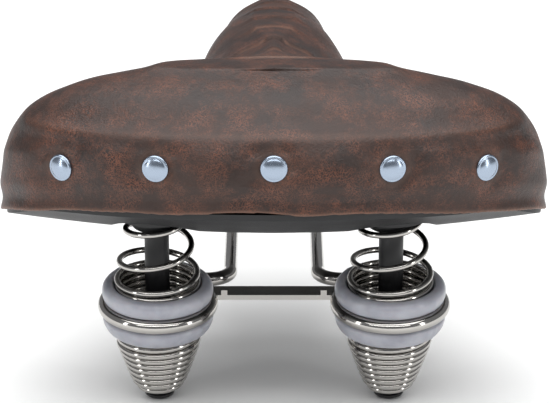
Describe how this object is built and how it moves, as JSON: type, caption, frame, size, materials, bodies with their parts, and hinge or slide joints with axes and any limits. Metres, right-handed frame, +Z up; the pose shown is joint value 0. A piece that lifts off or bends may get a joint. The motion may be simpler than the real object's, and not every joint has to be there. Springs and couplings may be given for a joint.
{
  "type": "bicycle saddle",
  "caption": "Wide sprung bicycle saddle: padded cover with domed rivets on a moulded base, carried by a bent wire rail, coil springs in elastomer collars and a nose socket.",
  "frame": {"origin": "midway between the two rails' centrelines, in the middle of their straight clamping stretch", "axes": "+Z up, +Y towards the nose along the rails, +X to the rider's right"},
  "size_m": [0.2662, 0.2657, 0.1724],
  "materials": {
    "leatherette": "dark mottled brown embossed leatherette, satin",
    "foam": "open-cell polyurethane foam, matt, hidden inside the cover",
    "base_black": "injection-moulded black polypropylene, fine satin texture",
    "rivet_steel": "polished nickel-plated steel",
    "zinc_steel": "zinc-plated steel, dull",
    "black_chrome": "black-nickel plated spring wire",
    "elastomer_grey": "cast polyurethane, silver grey, satin",
    "seat_black": "moulded black nylon"
  },
  "bodies": {
    "rail_frame": {"rail_wire": "black_chrome", "cross_plate": "black_chrome", "left_elastomer": "elastomer_grey", "right_elastomer": "elastomer_grey", "left_spring": "black_chrome", "right_spring": "black_chrome"},
    "saddle_top": {"cover": "leatherette", "foam_pad": "foam", "base_shell": "base_black", "rear_rivets": "rivet_steel", "rivet_burrs": "zinc_steel", "left_spring_seat": "seat_black", "right_spring_seat": "seat_black", "left_guide_post": "seat_black", "right_guide_post": "seat_black", "left_tip_cap": "seat_black", "right_tip_cap": "seat_black", "left_spring_bolt": "zinc_steel", "right_spring_bolt": "zinc_steel", "bolt_washers": "zinc_steel", "bolt_nuts": "zinc_steel", "nose_rail_clip": "seat_black", "clip_screws": "zinc_steel"}
  },
  "joints": [
    {"name": "spring_travel", "type": "hinge", "parent": "rail_frame", "child": "saddle_top", "pos_m": [0, 0.112, 0.039], "axis": [1, 0, 0], "range_deg": [0, 6], "stiffness_Nm_per_rad": 1550, "deforming": ["left_spring", "right_spring"]}
  ]
}
